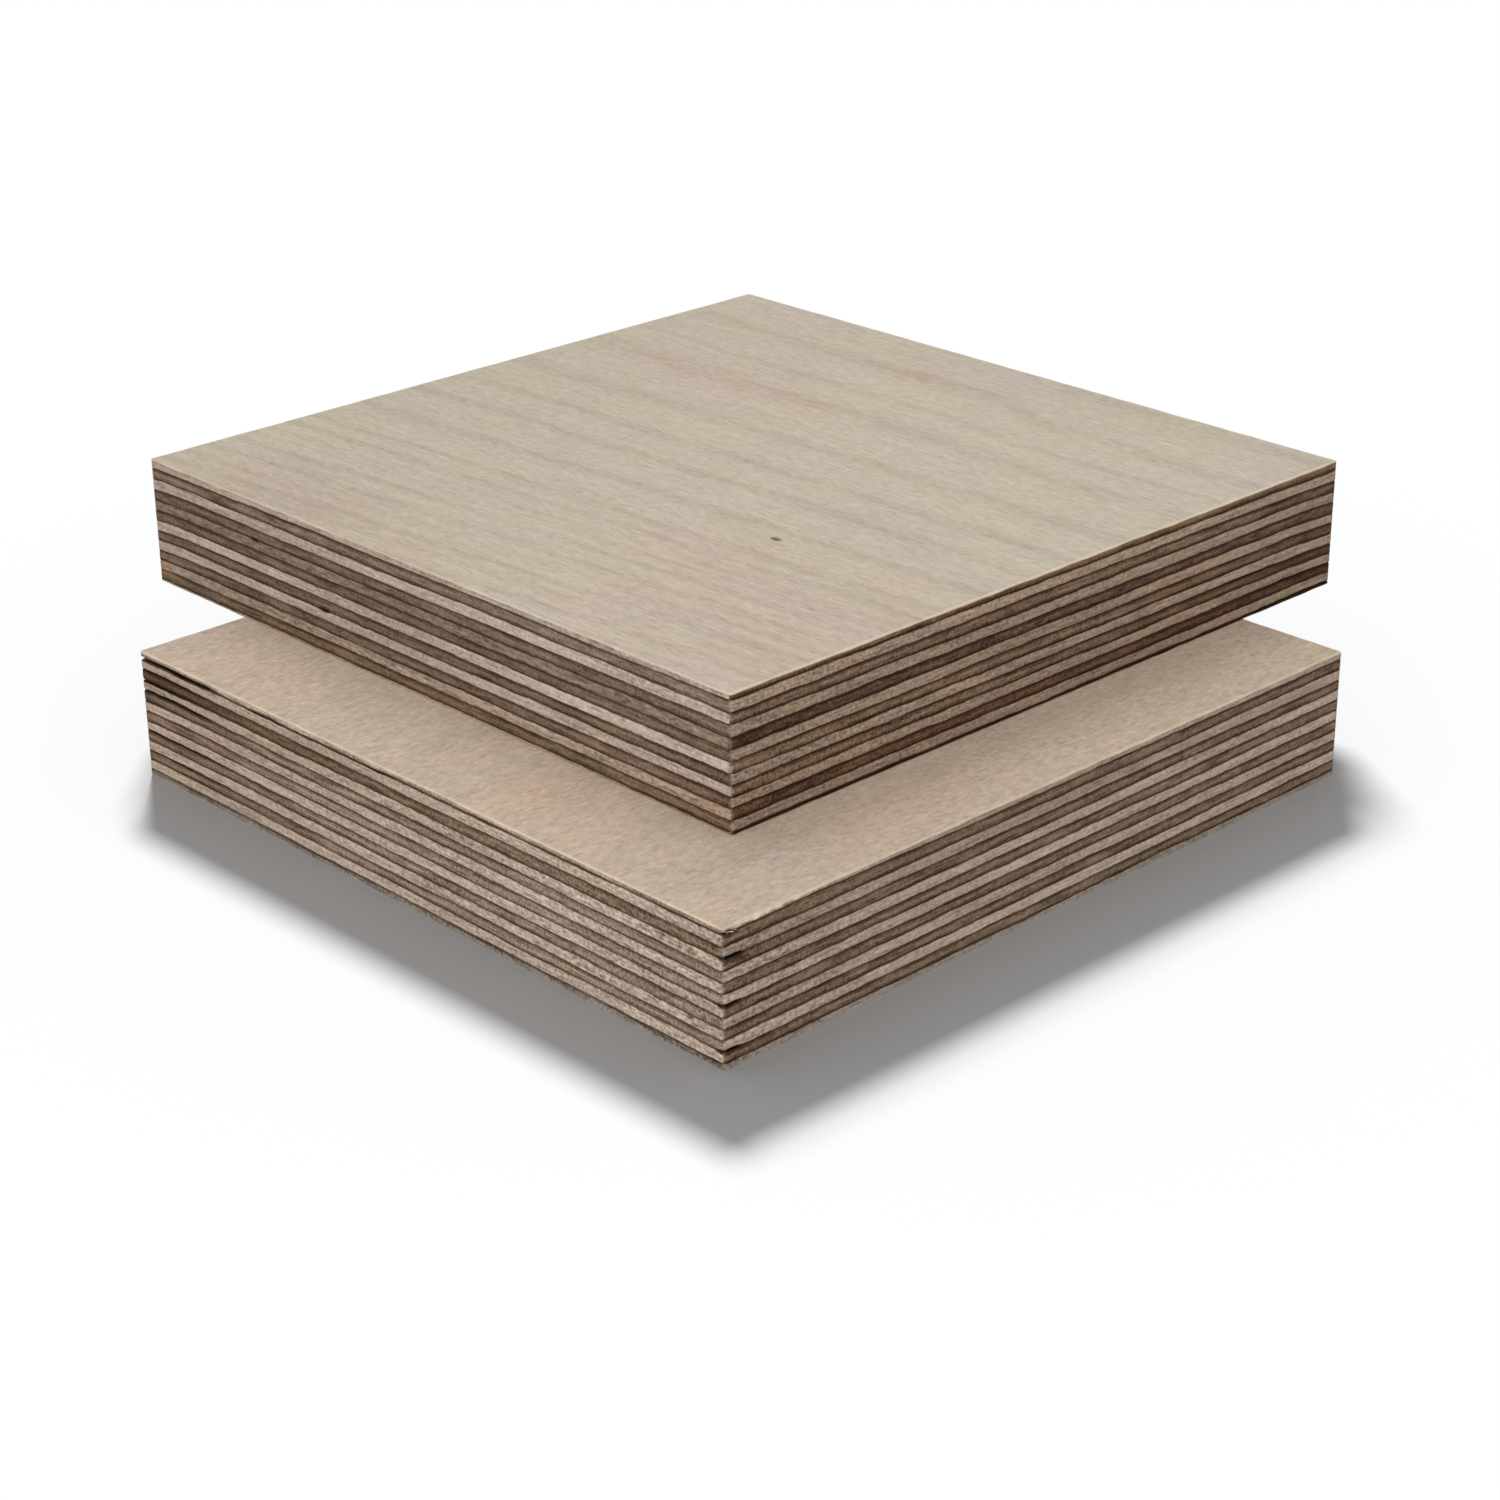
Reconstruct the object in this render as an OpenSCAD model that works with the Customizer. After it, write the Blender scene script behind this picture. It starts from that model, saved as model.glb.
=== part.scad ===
// Two square plywood panels, one lying on the other and set back at the front corner.
// Both have the same lay-up of thirteen plies: a thin face veneer, then crossbands and core plies
// in turn, and a thin back veneer. The grain turns a quarter at every ply.
// Millimetres, +Z up, origin at the middle of the lower panel's underside.
// The front corner is the one at +X and -Y.

/* [Lay-up] */
// Thickness of the face and back veneers, after sanding
face_t = 0.75; // [0.3:0.05:1.5]
// Thickness of each crossband and core ply
ply_t = 1.5; // [0.8:0.05:3.2]
// Crossbands in a panel, with a core ply between each two
crossbands = 6; // [2:1:8]

/* [Lower panel] */
// Sawn width along X
lower_width = 113; // [60:0.5:240]
// Sawn depth along Y
lower_depth = 113; // [60:0.5:240]

/* [Upper panel] */
// Sawn width along X
upper_width = 116.5; // [60:0.5:240]
// Sawn depth along Y
upper_depth = 115; // [60:0.5:240]

/* [Stack] */
// How far the upper panel's +X edge lies behind the lower one's
setback_x = 16.3; // [0:0.1:40]
// How far the upper panel's -Y edge lies behind the lower one's
setback_y = 16.9; // [0:0.1:40]

/* [Edges] */
// Radius that sanding leaves on the upright corners
corner_r = 0.5; // [0.3:0.05:2]
// Width of the sanded bevel around the outer faces
arris = 0.15; // [0.05:0.05:0.25]

/* [Hidden] */
$fn = 48;

LOWER = "lower";
UPPER = "upper";
cores = crossbands - 1;
panel_t = 2 * face_t + (crossbands + cores) * ply_t;

function sides(panel) = panel == LOWER ? [lower_width, lower_depth] : [upper_width, upper_depth];

// Middle of a panel in plan: the front corners stand apart by the two setbacks
function middle(panel) = panel == LOWER ? [0, 0] : [
    (lower_width - upper_width) / 2 - setback_x,
    (upper_depth - lower_depth) / 2 + setback_y
];

// Height of a panel's upper and lower faces, and of the top of each ply between its outer veneers
function top(panel) = panel == LOWER ? panel_t : 2 * panel_t;

function bottom(panel) = top(panel) - panel_t;

function crossband_top(panel, k) = top(panel) - face_t - 2 * (k - 1) * ply_t;

function core_top(panel, k) = crossband_top(panel, k) - ply_t;

// Names of a panel's plies, numbered from its face down
function face_name(panel) = str(panel, "_face_veneer");

function crossband_name(panel, k) = str(panel, "_crossband_", k);

function core_name(panel, k) = str(panel, "_core_", k);

function back_name(panel) = str(panel, "_back_veneer");

function ply_names(panel) = concat(
    face_name(panel),
    [for (k = [1 : crossbands]) crossband_name(panel, k)],
    [for (k = [1 : cores]) core_name(panel, k)],
    back_name(panel)
);

FACE_COLOUR = [0.78, 0.71, 0.62];
CROSSBAND_COLOUR = [0.50, 0.43, 0.37];
CORE_COLOUR = [0.72, 0.64, 0.55];

// Puts a child on the axis of each upright corner's rounding
module at_corners(panel) {
    reach = sides(panel) / 2 - [corner_r, corner_r];
    for (sx = [-1, 1], sy = [-1, 1])
        translate([sx * reach.x, sy * reach.y]) children();
}

// Plan of a sawn panel, with its upright corners rounded
module sawn_outline(panel) {
    square(sides(panel) - [2 * corner_r, 0], center = true);
    square(sides(panel) - [0, 2 * corner_r], center = true);
    at_corners(panel) circle(r = corner_r);
}

// Inner ply, cut flush with the panel's sides
module inner_ply(panel, ply_top) {
    translate([middle(panel).x, middle(panel).y, ply_top - ply_t])
        linear_extrude(height = ply_t) sawn_outline(panel);
}

// Half section of an outer veneer, from its middle out to its bevelled edge
function half_section(reach) = [
    [0, 0],
    [reach, 0],
    [reach, face_t - arris],
    [reach - arris, face_t],
    [0, face_t]
];

// Strip of outer veneer along Y, bevelled along both long edges
module bevelled_strip(width, length) {
    for (side = [0, 1])
        mirror([side, 0, 0])
            rotate([90, 0, 0])
                linear_extrude(height = length, center = true) polygon(half_section(width / 2));
}

// Outer veneer lying outer face up, with the bevel carried round its corners
module outer_ply(panel) {
    w = sides(panel);
    bevelled_strip(w.x, w.y - 2 * corner_r);
    rotate(90) bevelled_strip(w.y, w.x - 2 * corner_r);
    at_corners(panel) rotate_extrude() polygon(half_section(corner_r));
}

module face_veneer(panel) {
    color(FACE_COLOUR)
        translate([middle(panel).x, middle(panel).y, top(panel) - face_t])
            outer_ply(panel);
}

module crossband(panel, k) {
    color(CROSSBAND_COLOUR) inner_ply(panel, crossband_top(panel, k));
}

module core(panel, k) {
    color(CORE_COLOUR) inner_ply(panel, core_top(panel, k));
}

module back_veneer(panel) {
    color(FACE_COLOUR)
        translate([middle(panel).x, middle(panel).y, bottom(panel) + face_t])
            mirror([0, 0, 1]) outer_ply(panel);
}

for (panel = [LOWER, UPPER]) {
    back_veneer(panel);
    for (k = [1 : crossbands])
        crossband(panel, k);
    for (k = [1 : cores])
        core(panel, k);
    face_veneer(panel);
}
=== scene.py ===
import math

import bpy
import numpy as np
from mathutils import Color, Matrix, Vector, noise


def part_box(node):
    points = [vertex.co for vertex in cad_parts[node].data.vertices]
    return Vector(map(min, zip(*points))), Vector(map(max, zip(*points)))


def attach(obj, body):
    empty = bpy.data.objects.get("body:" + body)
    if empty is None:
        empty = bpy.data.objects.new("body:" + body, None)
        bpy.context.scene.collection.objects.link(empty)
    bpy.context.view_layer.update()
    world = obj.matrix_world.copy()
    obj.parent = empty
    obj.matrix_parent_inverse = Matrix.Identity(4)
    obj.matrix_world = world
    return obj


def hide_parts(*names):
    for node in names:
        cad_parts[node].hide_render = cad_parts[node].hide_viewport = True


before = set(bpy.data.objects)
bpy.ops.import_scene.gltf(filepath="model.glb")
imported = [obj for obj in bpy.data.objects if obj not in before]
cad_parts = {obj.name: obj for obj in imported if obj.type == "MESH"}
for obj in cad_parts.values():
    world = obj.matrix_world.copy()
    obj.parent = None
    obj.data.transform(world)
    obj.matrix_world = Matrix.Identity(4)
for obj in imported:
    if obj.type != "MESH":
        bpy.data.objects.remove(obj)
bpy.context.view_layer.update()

# Core plies: five thick veneers inside each panel, peeled from the log, with their grain the way of the face.
# Each is glued between two crossbands under a hot press, and one saw cut trims all the plies flush.
# The glue lines wander a little where the veneers swelled, and a few have sprung open near a corner.

MM = 0.001
PANELS = ("lower", "upper")
FACE_GRAIN = {"lower": "Y", "upper": "X"}
CORES = 5
LAYUP = ["face_veneer", "crossband_1"]
for number in range(1, CORES + 1):
    LAYUP += [f"core_{number}", f"crossband_{number + 1}"]
LAYUP.append("back_veneer")

# Radius of the upright corners, steps round each, and the space between the columns of a side
CORNER_R = 0.5 * MM
CORNER_STEPS = 6
COLUMN_STEP = 0.5 * MM


def sawn_plan(panel, inset=0.0):
    """Columns round a panel, anticlockwise from its -Y side: the axis each turns on, and the way it faces.

    They stand on the sawn sides, or are inset from them.
    """
    low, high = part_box(f"{panel}_core_1")
    columns = [round((high[axis] - low[axis] - 2 * CORNER_R) / COLUMN_STEP) + 1 for axis in (0, 1)]
    reach = CORNER_R + inset
    x = np.linspace(low.x + reach, high.x - reach, columns[0])
    y = np.linspace(low.y + reach, high.y - reach, columns[1])
    sides = (
        (x, np.full_like(x, y[0])),
        (np.full_like(y, x[-1]), y),
        (x[::-1], np.full_like(x, y[-1])),
        (np.full_like(y, x[0]), y[::-1]),
    )
    axes, angles = [], []
    for quarter, (side_x, side_y) in enumerate(sides):
        axes.append(np.column_stack((side_x, side_y)))
        axes.append(np.repeat(axes[-1][-1:], CORNER_STEPS - 1, axis=0))
        start = (quarter - 1) * math.pi / 2
        angles.append(np.full(len(side_x), start))
        angles.append(np.linspace(start, start + math.pi / 2, CORNER_STEPS + 1)[1:-1])
    angles = np.concatenate(angles)
    return np.concatenate(axes), np.column_stack((np.cos(angles), np.sin(angles)))


def noise_at(points, length, seed):
    """Smooth noise from -1 to 1 at each point of the plan or of space, with waves of that length."""
    places = np.zeros((len(points), 3))
    places[:, :points.shape[1]] = points
    return np.array([noise.noise(Vector(place) / length + seed) for place in places])


# Wave length and height of a glue line's wander
WANDER = ((17 * MM, 0.13 * MM), (6 * MM, 0.07 * MM), (2.2 * MM, 0.05 * MM), (1.2 * MM, 0.05 * MM))
# How much thinner sanding left a panel's back than its face
SANDED_BACK = {"lower": 0.0, "upper": 0.2 * MM}
# How the face was sanded thinner at the front corner: slope in mm for a panel's width, how fast it fades
# below the face, where it is level as a share of the width, and the least and most of that share that count
SANDED_FRONT = {"lower": (1.22, 4, 0.6, 0.0, 0.4), "upper": (0.4, 1, 0.5, -1.0, 1.0)}
# How far the middle plies sag, and how much thicker the outer veneers are than the lay-up says
SAG = {"lower": 0.0, "upper": 0.15 * MM}
THICKER = {"lower": 0.20 * MM, "upper": 0.0}
# Corners where the press pinched the plies: panel, side, the end of that side, reach in mm and depth in mm
PINCHED = (
    ("upper", "-Y", "-X", 10.0, 0.40),
    ("upper", "+X", "+Y", 14.0, 0.45),
    ("lower", "-Y", "-X", 16.0, 0.30),
)
# Steps in the noise along X and Z from joint to joint, and along Y from panel to panel
SEED_X, SEED_Y, SEED_Z = 3.1, 40.0, 1.7


def joint_seed(panel, joint):
    """A place of its own in the noise for each joint, so that no two wander alike."""
    return Vector((SEED_X * joint, SEED_Y * PANELS.index(panel), SEED_Z * joint))


def joint_level(panel, joint):
    """Height of the joint over a ply, counted from the face down. The first and last are the outer faces."""
    if joint == len(LAYUP):
        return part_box(f"{panel}_{LAYUP[-1]}")[0].z
    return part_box(f"{panel}_{LAYUP[joint]}")[1].z


def along_side(panel, points, side, end):
    """How far points of the plan lie from one end of a panel's side, in mm, and which are on that side."""
    low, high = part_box(f"{panel}_core_1")
    from_end = {
        "-X": points[:, 0] - low.x,
        "+X": high.x - points[:, 0],
        "-Y": points[:, 1] - low.y,
        "+Y": high.y - points[:, 1],
    }
    return from_end[end] / MM, from_end[side] < CORNER_R


def joint_heights(panel, joint, points):
    """Height of a glue line at points of the plan."""
    low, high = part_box(f"{panel}_core_1")
    from_front = np.linalg.norm(points - (high.x, low.y), axis=1) / (high.x - low.x)
    slope, fade, level_place, least, most = SANDED_FRONT[panel]
    near_face = max(0.0, 1 - 2 * joint / len(LAYUP)) ** fade
    through = math.pi * joint / len(LAYUP)
    sanded = slope * MM * near_face * np.clip(level_place - from_front, least, most)
    heights = joint_level(panel, joint) + sanded
    heights -= SANDED_BACK[panel] + SAG[panel] * math.sin(through) + THICKER[panel] * math.cos(through)
    for pinched, side, end, reach, depth in PINCHED:
        if pinched == panel:
            away, _ = along_side(panel, points, side, end)
            off_side, _ = along_side(panel, points, end, side)
            near = np.clip(1 - np.hypot(away, off_side) / reach, 0, 1)
            heights -= depth * MM * near ** 2 * math.sin(through)
    for length, height in WANDER:
        heights += height * noise_at(points, length, joint_seed(panel, joint))
    return heights


# The saw's marks along an edge: panel, side, the end where each is strongest, reach in mm and strength.
# Scorches are dark, where the blade slowed, and only on the plies that they name. The two that take every ply
# of a -Y side are painted shade, darker towards its -X end.
CORES_ALONE = [f"core_{number}" for number in range(1, CORES + 1)]
SCORCHES_AND_SHADE = (
    # Painted shade: every ply of the -Y side darker towards its -X end
    ("lower", "-Y", "-X", 100.0, 0.14, LAYUP),
    ("lower", "-Y", "-X", 55.0, 0.40, CORES_ALONE),
    ("lower", "-Y", "-X", 24.0, 0.56, ("core_2",)),
    ("lower", "-Y", "-X", 75.0, 0.62, ("core_1",)),
    ("lower", "-Y", "+X", 60.0, 0.30, ("face_veneer",)),
    # Painted shade: every ply of the -Y side darker towards its -X end
    ("upper", "-Y", "-X", 105.0, 0.16, LAYUP),
    ("upper", "-Y", "+X", 32.0, 0.40, ("back_veneer",)),
    ("upper", "+X", "-Y", 34.0, 0.38, ("core_2",)),
    ("upper", "+X", "+Y", 50.0, 0.50, ("core_3", "core_5")),
    # For the back veneer this one is painted shade along the upper panel's bottom, darker towards the +Y end
    ("upper", "+X", "+Y", 62.0, 0.72, ("core_4", "back_veneer")),
    ("upper", "+X", "+Y", 30.0, 0.30, ("core_1",)),
)
# Furry cuts, where the blade tore the fibres
FURRY_CUTS = (
    ("lower", "-Y", "+X", 95.0, 1.0),
    ("lower", "+X", "-Y", 30.0, 0.9),
    ("upper", "+X", "-Y", 80.0, 0.8),
    ("upper", "-Y", "+X", 40.0, 0.3),
)
# Smears of glue that the blade drew out over the whole of a side, so that it shows wider and darker there
SMEARS = (
    ("upper", "+X", "-Y", math.inf, 0.28),
    ("lower", "+X", "-Y", math.inf, 0.12),
)


def saw_marks(panel, points, marks):
    """How strong such marks are at points of the plan. Each fades along its side, from one end."""
    strength = np.zeros(len(points))
    for marked_panel, side, end, reach, most in marks:
        if marked_panel == panel:
            away, on_side = along_side(panel, points, side, end)
            strength = np.maximum(strength, most * on_side * np.clip(1 - away / reach, 0, 1))
    return strength


# Red stains on the sawn edges: panel, side, end, mm from that end and down from the face, reach in mm along
# the side and in height, and strength
RED_STAINS = (
    ("upper", "-Y", "-X", 2.0, 15.4, 1.6, 1.2, 1.0),
    ("upper", "-Y", "-X", 66.0, 15.8, 3.0, 1.4, 0.6),
    ("upper", "-Y", "-X", 75.0, 15.2, 3.0, 0.8, 0.6),
    ("upper", "-Y", "+X", 14.0, 15.2, 7.0, 1.0, 0.6),
    ("upper", "-Y", "+X", 3.5, 14.6, 5.0, 2.4, 0.9),
    ("upper", "+X", "-Y", 1.5, 14.8, 5.0, 2.6, 0.7),
    ("upper", "+X", "-Y", 25.0, 15.2, 8.0, 0.9, 0.6),
    ("upper", "+X", "-Y", 14.0, 13.4, 6.0, 0.9, 0.5),
    ("upper", "+X", "-Y", 82.0, 7.8, 5.0, 0.9, 0.6),
    ("upper", "+X", "+Y", 26.0, 15.2, 7.0, 0.8, 0.6),
    ("lower", "+X", "-Y", 2.5, 15.9, 2.0, 1.0, 0.9),
    ("lower", "-Y", "-X", 18.0, 2.0, 2.0, 0.8, 0.6),
)


def red_stain(panel, points):
    """How strongly a sawn edge is stained red at points of space."""
    down = (joint_level(panel, 0) - points[:, 2]) / MM
    stain = np.zeros(len(points))
    for stained_panel, side, end, place, depth, reach, tall, strength in RED_STAINS:
        if stained_panel == panel:
            away, on_side = along_side(panel, points, side, end)
            mark = np.exp(-(((away - place) / reach) ** 2) - ((down - depth) / tall) ** 2)
            stain = np.maximum(stain, strength * on_side * mark)
    return stain


# Sprung joints: panel, joint counted from the face down, side, start and end in mm from the side's -X or -Y
# end, and height of the gap and length of its run-out in mm
SPRUNG_JOINTS = (
    ("lower", 1, "-Y", 0.0, 15.0, 0.58, 6.0),
    ("lower", 1, "-Y", 18.0, 74.0, 0.17, 4.0),
    ("lower", 1, "-Y", 74.0, 113.0, 0.10, 4.0),
    ("lower", 2, "-Y", 0.0, 10.0, 0.26, 6.0),
    ("lower", 3, "-Y", 0.0, 11.0, 0.34, 6.0),
    ("lower", 4, "-Y", 0.0, 12.0, 0.34, 5.0),
    ("lower", 5, "-Y", 0.0, 7.0, 0.18, 6.0),
    ("lower", 8, "-Y", 2.0, 14.0, 0.20, 6.0),
    ("lower", 10, "-Y", 6.0, 15.0, 0.16, 6.0),
    ("lower", 1, "+X", 0.5, 1.3, 0.60, 0.7),
    ("lower", 3, "+X", 0.0, 2.4, 0.55, 1.0),
    ("lower", 7, "+X", 0.0, 2.0, 0.45, 1.6),
    ("lower", 11, "+X", 0.0, 1.6, 0.55, 1.4),
    ("upper", 8, "-Y", 38.2, 39.2, 0.34, 0.9),
    ("upper", 4, "-Y", 23.6, 24.2, 0.26, 0.8),
    ("upper", 9, "-Y", 112.0, 115.0, 0.26, 3.0),
    ("upper", 12, "+X", 100.0, 115.0, 0.22, 14.0),
    ("upper", 10, "+X", 104.0, 115.0, 0.16, 12.0),
    ("upper", 8, "+X", 94.0, 98.0, 0.16, 6.0),
)
# How far in from the edge a joint springs open. Its inside counts as less than 0 mm from the glue.
SPRUNG_DEPTH = 3.0 * MM
DEEP_INSIDE = -3.0


def joint_gaps(panel, joint, points):
    """How far a glue joint stands open at points of the plan."""
    low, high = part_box(f"{panel}_core_1")
    gaps = np.zeros(len(points))
    for opened, number, side, start, end, height, run_out in SPRUNG_JOINTS:
        if (opened, number) != (panel, joint):
            continue
        if side == "-Y":
            first, last = (low.x + start * MM, low.y), (low.x + end * MM, low.y)
        else:
            first, last = (high.x, low.y + start * MM), (high.x, low.y + end * MM)
        away = np.linalg.norm(points - np.clip(points, first, last), axis=1)
        gaps = np.maximum(gaps, height * MM * np.clip(1 - away / (run_out * MM), 0, 1))
    return gaps


# Rows of a sawn edge as shares of the ply's thickness, and how far the glue line sinks in at each
ROWS = np.array((0.0, 0.05, 0.18, 0.5, 0.82, 0.95, 1.0))
GROOVE = 0.05 * MM * np.array((1.0, 0.4, 0.0, 0.0, 0.0, 0.4, 1.0))
# Length of the saw's tears, and their depth where it cut along the fibres and across them
TEAR_LENGTH = 1.8 * MM
LONG_TEAR = 0.015 * MM
END_TEAR = 0.03 * MM
# Rubbing of the upright corners, partly a painted highlight: its reach, its mean strength, and how much and
# in what waves that varies
CORNER_WEAR_AND_HIGHLIGHT = 0.45 * MM
WEAR_AND_HIGHLIGHT_MEAN = 0.6
WEAR_AND_HIGHLIGHT_VARIES = 0.8
WEAR_AND_HIGHLIGHT_WAVE = 0.8 * MM


def torn(points, facing, grain, seed):
    """How deep the saw tore the fibres: deeper where it cut across them."""
    across = np.abs(facing[:, "XY".index(grain)])
    depth = LONG_TEAR + (END_TEAR - LONG_TEAR) * across
    return depth * (1 + noise_at(points, TEAR_LENGTH, seed)) / 2


def corner_wear_and_highlight(panel, points):
    """How pale the panel's upright corners are, from rubbing and a painted highlight, up to 1, and 0 a little
    way along its sides.
    """
    low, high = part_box(f"{panel}_core_1")
    to_x = np.minimum(points[:, 0] - low.x, high.x - points[:, 0])
    to_y = np.minimum(points[:, 1] - low.y, high.y - points[:, 1])
    return np.clip(1 - np.maximum(to_x, to_y) / CORNER_WEAR_AND_HIGHLIGHT, 0, 1)


def wall_faces(rows, columns):
    """Quads of a wall of rows that closes on itself, facing out, with each row's columns anticlockwise."""
    faces = []
    for row in range(rows - 1):
        for column in range(columns):
            onward = (column + 1) % columns
            below, above = row * columns, (row + 1) * columns
            faces.append((below + column, below + onward, above + onward, above + column))
    return faces


def edge_measures(panel, ply, points, to_glue):
    """What an edge's finish needs at each point: mm to the glue, wear and a painted highlight at the corners,
    and the saw's marks, with painted shade among them.
    """
    plan = points[:, :2]
    seed = joint_seed(panel, LAYUP.index(ply))
    ragged = WEAR_AND_HIGHLIGHT_MEAN + WEAR_AND_HIGHLIGHT_VARIES * noise_at(points, WEAR_AND_HIGHLIGHT_WAVE, seed)
    scorches_and_shade = [mark for *mark, plies in SCORCHES_AND_SHADE if ply in plies]
    return {
        "to_glue": to_glue,
        "wear_and_highlight": corner_wear_and_highlight(panel, plan) * np.clip(ragged, 0, 1),
        "scorch_and_shade": saw_marks(panel, plan, scorches_and_shade),
        "fur": saw_marks(panel, plan, FURRY_CUTS),
        "smear": saw_marks(panel, plan, SMEARS),
        "red": red_stain(panel, points),
    }


def inner_ply(panel, ply, grain):
    """Closed mesh of a ply between two glue lines, as (points, faces, measures)."""
    above = LAYUP.index(ply)
    axes, facing = sawn_plan(panel)
    outline = axes + CORNER_R * facing
    tops = joint_heights(panel, above, outline) - joint_gaps(panel, above, outline) / 2
    bottoms = joint_heights(panel, above + 1, outline) + joint_gaps(panel, above + 1, outline) / 2
    points, to_glue = [], []
    for share, groove in zip(ROWS, GROOVE):
        height = bottoms + share * (tops - bottoms)
        wall = np.column_stack((outline, height))
        sunk = groove + torn(wall, facing, grain, joint_seed(panel, above))
        wall[:, :2] -= facing * sunk[:, None]
        points.append(wall)
        to_glue.append(min(share, 1 - share) * (tops - bottoms) / MM)
    inner_axes, _ = sawn_plan(panel, SPRUNG_DEPTH)
    inner = inner_axes + CORNER_R * facing
    for joint in (above + 1, above):
        points.append(np.column_stack((inner, joint_heights(panel, joint, inner))))
        to_glue.append(np.full(len(inner), DEEP_INSIDE))
    columns = len(outline)
    top_row = (len(ROWS) - 1) * columns
    under, over = len(ROWS) * columns, (len(ROWS) + 1) * columns
    faces = wall_faces(len(ROWS), columns)
    for column in range(columns):
        onward = (column + 1) % columns
        faces.append((onward, column, under + column, under + onward))
        faces.append((top_row + column, top_row + onward, over + onward, over + column))
    faces.append(tuple(range(under + columns - 1, under - 1, -1)))
    faces.append(tuple(range(over, over + columns)))
    points = np.concatenate(points)
    return points, faces, edge_measures(panel, ply, points, np.concatenate(to_glue))


# Faces that meet at more than this angle keep a sharp edge between them
SHARP_EDGE = math.radians(28)


def add_piece(panel, ply, points, faces, measures, materials, edge_faces=None):
    """Makes a ply's object and lets it stand for its node.

    Its first material goes on all of it, or on its first edge_faces faces, with the second on the rest.
    """
    node = f"{panel}_{ply}"
    mesh = bpy.data.meshes.new(f"{node}_wood")
    mesh.from_pydata(points.tolist(), [], faces)
    for name, values in measures.items():
        mesh.attributes.new(name, "FLOAT", "POINT").data.foreach_set("value", values.astype(np.float32))
    for material in materials:
        mesh.materials.append(material)
    if edge_faces is not None:
        on_face = np.arange(len(faces)) >= edge_faces
        mesh.polygons.foreach_set("material_index", on_face.astype(np.int32))
    mesh.polygons.foreach_set("use_smooth", np.ones(len(faces), dtype=bool))
    mesh.set_sharp_from_angle(angle=SHARP_EDGE)
    mesh.update()
    piece = bpy.data.objects.new(f"{node}_wood", mesh)
    bpy.context.scene.collection.objects.link(piece)
    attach(piece, "root")
    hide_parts(node)


class Wire:
    """An output socket of a finish. An expression on it adds its Math nodes."""

    def __init__(self, finish, socket):
        self.finish = finish
        self.socket = socket

    def reckon(self, operation, first, second):
        """Adds one Math node."""
        return self.finish.node("ShaderNodeMath", {"operation": operation}, {0: first, 1: second})

    def __add__(self, other):
        return self.reckon("ADD", self, other)

    def __radd__(self, other):
        return self.reckon("ADD", other, self)

    def __sub__(self, other):
        return self.reckon("SUBTRACT", self, other)

    def __rsub__(self, other):
        return self.reckon("SUBTRACT", other, self)

    def __mul__(self, other):
        return self.reckon("MULTIPLY", self, other)

    def __rmul__(self, other):
        return self.reckon("MULTIPLY", other, self)

    def __mod__(self, other):
        return self.reckon("FLOORED_MODULO", self, other)

    def __abs__(self):
        return self.reckon("ABSOLUTE", self, 0.0)


class Finish:
    """A material, or the sky, as it is put together node by node."""

    def __init__(self, material, seed=0.0):
        self.material = material
        self.seed = seed
        self.material.use_nodes = True
        self.tree = self.material.node_tree
        self.tree.nodes.clear()

    def node(self, kind, settings, inputs, output=0):
        """Adds a node, sets it up, feeds its sockets with values or wires, and gives one output."""
        made = self.tree.nodes.new(kind)
        for name, value in settings.items():
            setattr(made, name, value)
        for name, value in inputs.items():
            if isinstance(value, Wire):
                self.tree.links.new(value.socket, made.inputs[name])
            else:
                made.inputs[name].default_value = value
        return Wire(self, made.outputs[output])

    def end(self, kind, shader):
        """Joins the finished shader to the output, and gives the material."""
        output = self.tree.nodes.new(kind)
        self.tree.links.new(shader.socket, output.inputs["Surface"])
        return self.material


SCREEN_WHITE = 255


def paint(red, green, blue):
    """A colour as it looks on screen, 0 to 255, as the linear colour that a shader takes."""
    screen = Color((red, green, blue)) / SCREEN_WHITE
    return (*screen.from_srgb_to_scene_linear(), 1.0)


def ease(value, start, end):
    """0 up to start, 1 from end, smooth between."""
    return value.finish.node(
        "ShaderNodeMapRange",
        {"interpolation_type": "SMOOTHSTEP"},
        {"Value": value, "From Min": start, "From Max": end},
    )


# Sockets of a Mix node that mixes colours
MIX_FACTOR, MIX_FIRST, MIX_SECOND, MIX_COLOUR = 0, 6, 7, 2


def blend(finish, share, first, second, how="MIX"):
    """The first colour, and the second laid over it by that share."""
    return finish.node(
        "ShaderNodeMix",
        {"data_type": "RGBA", "blend_type": how},
        {MIX_FACTOR: share, MIX_FIRST: first, MIX_SECOND: second},
        MIX_COLOUR,
    )


def shaded(finish, colour, share):
    """A colour made lighter or darker by a share."""
    return finish.node("ShaderNodeVectorMath", {"operation": "SCALE"}, {0: colour, "Scale": share})


def place_in_mm(finish):
    """Where a point of the stack lies, in millimetres."""
    place = finish.node("ShaderNodeTexCoord", {}, {}, "Object")
    return shaded(finish, place, 1 / MM)


# Each fleck's noise is shifted by one more step, by these shares of it along X, Y and Z
SEED_STEP = 13.7
SEED_SHARES = (1.0, 0.7, 1.3)
NOISE_MEAN = 0.5
# Layers of ever finer noise in a plain fleck, a rough one and a very rough one
PLAIN = 1.0
ROUGH = 2.0
VERY_ROUGH = 3.0


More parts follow.
